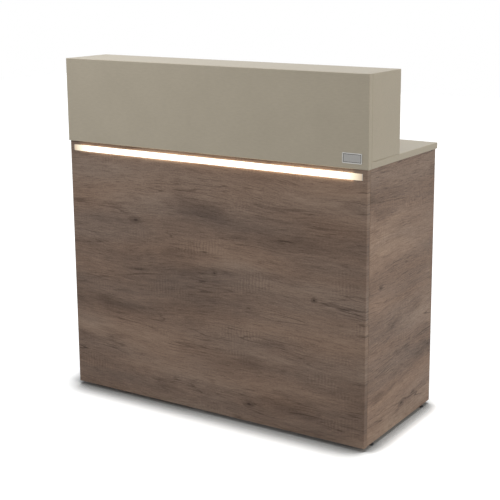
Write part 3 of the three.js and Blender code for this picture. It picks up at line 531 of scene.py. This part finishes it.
def add_driver_screws():
    low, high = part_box("led_driver")
    ear_face = low.y + DRIVER_EAR_THICKNESS + SEAT
    middle = (low.z + high.z) / 2
    places = [(x, ear_face, middle) for x in (low.x + DRIVER_EAR / 2, high.x - DRIVER_EAR / 2)]
    add_screws("driver_screws", places, (0, 1, 0), 0.0078, 0.0026, "zinc_steel", "desk")


def add_strike_screws():
    low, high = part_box("lock_strike")
    under = high.z - STRIKE_THICKNESS - SEAT
    centre = (low.x + high.x) / 2
    offsets = (-STRIKE_SCREW_OFFSET, STRIKE_SCREW_OFFSET)
    places = [(centre + offset, low.y + STRIKE_SCREW_INSET, under) for offset in offsets]
    add_screws("strike_screws", places, (0, 0, -1), 0.0062, 0.0018, "zinc_steel", "desk")


def handle_line():
    """Points on the centre line of the bow handle, from one foot to the other."""
    low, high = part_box("drawer_handle")
    left = low.x + HANDLE_BAR / 2
    right = high.x - HANDLE_BAR / 2
    reach = high.y - HANDLE_BAR / 2
    level = (low.z + high.z) / 2
    points = [Vector((left, low.y, level))]
    for centre_x, start in ((left + HANDLE_BEND, math.pi), (right - HANDLE_BEND, math.pi / 2)):
        for step in range(HANDLE_ARC_STEPS + 1):
            angle = start - step / HANDLE_ARC_STEPS * math.pi / 2
            offset = Vector((math.cos(angle), math.sin(angle), 0)) * HANDLE_BEND
            points.append(Vector((centre_x, reach - HANDLE_BEND, level)) + offset)
    points.append(Vector((right, low.y, level)))
    return points


def add_handle():
    """Round bow handle, with more sides than the solid that it stands for, and its two screws inside."""
    points = handle_line()

    def build(shape):
        up = Vector((0, 0, 1))
        rings = []
        for index, point in enumerate(points):
            before = points[max(index - 1, 0)]
            after = points[min(index + 1, len(points) - 1)]
            outward = up.cross((after - before).normalized())
            ring = []
            for step in range(BAR_SIDES):
                angle = 2 * math.pi * step / BAR_SIDES
                spoke = math.cos(angle) * up + math.sin(angle) * outward
                ring.append(shape.verts.new(point + HANDLE_BAR / 2 * spoke))
            rings.append(ring)
        skin(shape, rings)

    handle = add_form("bow_handle", build, "dark_steel", "drawer")
    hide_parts("drawer_handle")
    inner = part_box("drawer_front")[0].y - SEAT
    places = [(end.x, inner, end.z) for end in (points[0], points[-1])]
    add_screws("handle_screws", places, (0, -1, 0), 0.0085, 0.0030, "zinc_steel", "drawer")


def add_lock_nut():
    """Hexagon nut that holds the lock in the drawer front."""
    low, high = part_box("lock_housing")
    centre = (low + high) / 2
    place = (centre.x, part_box("drawer_front")[0].y - SEAT, centre.z)
    bore = 0.0083
    profile = [
        (bore, 0.0),
        (0.0120, 0.0, 6),
        (0.0122, 0.0004, 6),
        (0.0122, 0.0030, 6),
        (0.0118, 0.0036, 6),
        (bore + 0.0004, 0.0036),
        (bore, 0.0032),
    ]
    add_form("lock_nut", lambda shape: turn(shape, place, (0, -1, 0), profile, True),
             "zinc_steel", "drawer")


add_all_covers()
add_driver_screws()
add_strike_screws()
add_handle()
add_lock_nut()


# Floor and light

SPILL_WIDTH = 0.0024
SPILL_GAP = 0.0003
SPILL_COLOUR = (1.0, 0.80, 0.52)
SUN_STRENGTH = 0.90
SUN_ANGLE = math.radians(7)
SUN_TILT = math.radians(1.5)
FLOOR_HALF = 8.0
# SHADE_TINT and CONTACT_REACH set the tint and reach of the contact shadow painted into the floor's colour.
SHADE_TINT = (0.955, 0.98, 1.0)
CONTACT_REACH = 0.10
FLOOR_GAIN = 1.75
RIGHT_PAINTED_LIGHT_GAIN = 2.7  # painted light: the floor's colour is lifted on the right, where the wide shadow of the front light would fall
REFLECTED_FLOOR_GAIN = 1.25  # plain white in reflections, so that the floor adds no light to the desk


def add_floor():
    """Pale floor that keeps the lamps' shadow, with a contact shadow painted in from an occlusion ramp and
    painted light on the right; brighter to the eye than to the light that bounces off it.
    """
    half = FLOOR_HALF
    mesh = bpy.data.meshes.new("floor")
    corners = [(-half, -half, 0), (half, -half, 0), (half, half, 0), (-half, half, 0)]
    mesh.from_pydata(corners, [], [(0, 1, 2, 3)])
    floor = bpy.data.objects.new("floor", mesh)
    bpy.context.scene.collection.objects.link(floor)
    finish = Finish("floor")
    tree = finish.tree
    tree.nodes.remove(finish.shader)
    seen = seen_rays(finish)
    bounce = finish.node("BsdfDiffuse", {"Color": (0.58, 0.57, 0.56, 1.0)})
    right_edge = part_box("worktop")[1].x
    across = finish.node("SeparateXYZ", {0: finish.node("TexCoord").outputs["Object"]}).outputs["X"]
    direct = finish.node("LightPath").outputs["Is Camera Ray"]
    # Painted light on the right: the floor's colour is lifted there to thin out the front lamp's shadow.
    eye_gain = finish.span(across, right_edge, right_edge + 0.05, FLOOR_GAIN, RIGHT_PAINTED_LIGHT_GAIN)
    gain = finish.span(direct, 0.0, 1.0, REFLECTED_FLOOR_GAIN, eye_gain)
    # Painted contact shadow: the floor's colour darkens where the desk closes off the nearby open sky, on top
    # of the lamps' real shadow.
    open_sky = finish.node("AmbientOcclusion", {"Distance": CONTACT_REACH}, samples=12).outputs["AO"]
    levels = ((0.0, 0.55), (0.3, 0.34), (0.5, 0.18), (0.62, 0.32), (0.8, 0.72), (0.95, 1.0))
    stops = [(at, (*(level * share for share in SHADE_TINT), 1.0)) for at, level in levels]
    shade = finish.ramp(open_sky, stops)
    shown = finish.node("BsdfDiffuse", {"Color": finish.scaled(shade, finish.vector(gain, gain, gain))})
    both = finish.node("MixShader", {0: seen, 1: bounce.outputs[0], 2: shown.outputs[0]})
    output = tree.nodes["Material Output"]
    tree.links.new(both.outputs[0], output.inputs["Surface"])
    mesh.materials.append(finish.material)


def seen_rays(graph):
    """1 for rays from the camera, in a reflection or through glass, 0 for rays that carry light."""
    path = graph.node("LightPath").outputs
    seen = graph.math("MAXIMUM", path["Is Camera Ray"], path["Is Glossy Ray"])
    return graph.math("MAXIMUM", seen, path["Is Transmission Ray"])


class Sky(Finish):
    """The world's node tree, with the same short calls."""

    def __init__(self, world):
        world.use_nodes = True
        self.tree = world.node_tree
        self.tree.nodes.clear()


def add_sky():
    world = bpy.data.worlds.new("studio")
    bpy.context.scene.world = world
    sky = Sky(world)
    direction = sky.node("TexCoord").outputs["Generated"]
    to_right = Vector((0.94, -0.10, 0.30)).normalized()
    facing = sky.node("VectorMath", {0: direction, 1: to_right}, operation="DOT_PRODUCT").outputs["Value"]
    lobe = sky.math("POWER", sky.math("MAXIMUM", facing, 0.0), 2.0)
    level = sky.math("MULTIPLY_ADD", lobe, 0.78, 0.275)
    tint = sky.mix(lobe, (1.0, 1.0, 0.995, 1.0), (1.0, 0.935, 0.82, 1.0))
    light = sky.node("Background", {"Color": tint, "Strength": level})
    white = sky.node("Background", {"Color": (1.0, 1.0, 1.0, 1.0), "Strength": 1.0})
    both = sky.node("MixShader", {0: seen_rays(sky), 1: light.outputs[0], 2: white.outputs[0]})
    output = sky.node("OutputWorld")
    sky.tree.links.new(both.outputs[0], output.inputs["Surface"])


def add_area(name, place, aim, size, power):
    """A flat lamp at a place, turned to face another, that neither the eye nor a reflection sees."""
    data = bpy.data.lights.new(name, "AREA")
    data.shape = "RECTANGLE"
    data.size, data.size_y = size
    data.energy = power
    lamp = bpy.data.objects.new(name, data)
    lamp.location = place
    lamp.rotation_mode = "QUATERNION"
    lamp.rotation_quaternion = (Vector(aim) - Vector(place)).to_track_quat("-Z", "Y")
    lamp.visible_camera = False
    lamp.visible_glossy = False
    bpy.context.scene.collection.objects.link(lamp)
    return lamp


def add_lamps():
    """A soft light straight above, a long panel above the front at the left, and the light line's spill."""
    lamp = bpy.data.lights.new("overhead", "SUN")
    lamp.energy = SUN_STRENGTH
    lamp.angle = SUN_ANGLE
    sun = bpy.data.objects.new("overhead", lamp)
    sun.rotation_euler = (-SUN_TILT, SUN_TILT, 0)
    bpy.context.scene.collection.objects.link(sun)
    add_area("front_panel_light", (-0.75, -0.85, 1.85), (-0.35, -0.2, 0.9), (1.6, 0.4), 6.0)
    low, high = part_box("led_diffuser")
    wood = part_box("front_panel")[0].y
    middle = (low.x + high.x) / 2
    for name, edge, way in (("spill_down", low.z, -1), ("spill_up", high.z, 1)):
        place = Vector((middle, wood - SPILL_WIDTH / 2 - SPILL_GAP, edge))
        spill = add_area(name, place, place + Vector((0, 0, way)), (high.x - low.x - 0.05, SPILL_WIDTH), 0.05)
        spill.data.color = SPILL_COLOUR


# Camera

CAMERA_PLACE = Vector((1.80733, -2.73447, 1.26982))
CAMERA_AZIMUTH = math.radians(-31.44046)
CAMERA_ELEVATION = math.radians(-11.60087)
CAMERA_ROLL = math.radians(-0.02027)
FOCAL_PIXELS = 1130.19
IMAGE_PIXELS = 500
SENSOR = 36.0
SHIFT_X = -0.076
SHIFT_Y = -0.096


def add_camera():
    """Camera solved from the corners of the desk; the photograph was cropped, hence the shift."""
    level = math.cos(CAMERA_ELEVATION)
    forward = Vector((
        math.sin(CAMERA_AZIMUTH) * level,
        math.cos(CAMERA_AZIMUTH) * level,
        math.sin(CAMERA_ELEVATION),
    ))
    flat_right = forward.cross(Vector((0, 0, 1))).normalized()
    flat_up = flat_right.cross(forward)
    right = math.cos(CAMERA_ROLL) * flat_right + math.sin(CAMERA_ROLL) * flat_up
    up = right.cross(forward)
    facing = Matrix((right, up, -forward)).transposed().to_4x4()
    data = bpy.data.cameras.new("camera")
    data.sensor_width = SENSOR
    data.lens = FOCAL_PIXELS / IMAGE_PIXELS * SENSOR
    data.shift_x = SHIFT_X
    data.shift_y = SHIFT_Y
    camera = bpy.data.objects.new("camera", data)
    camera.matrix_world = Matrix.Translation(CAMERA_PLACE) @ facing
    bpy.context.scene.collection.objects.link(camera)
    bpy.context.scene.camera = camera


add_floor()
add_sky()
add_lamps()
add_camera()
bpy.context.scene.view_settings.view_transform = "Standard"
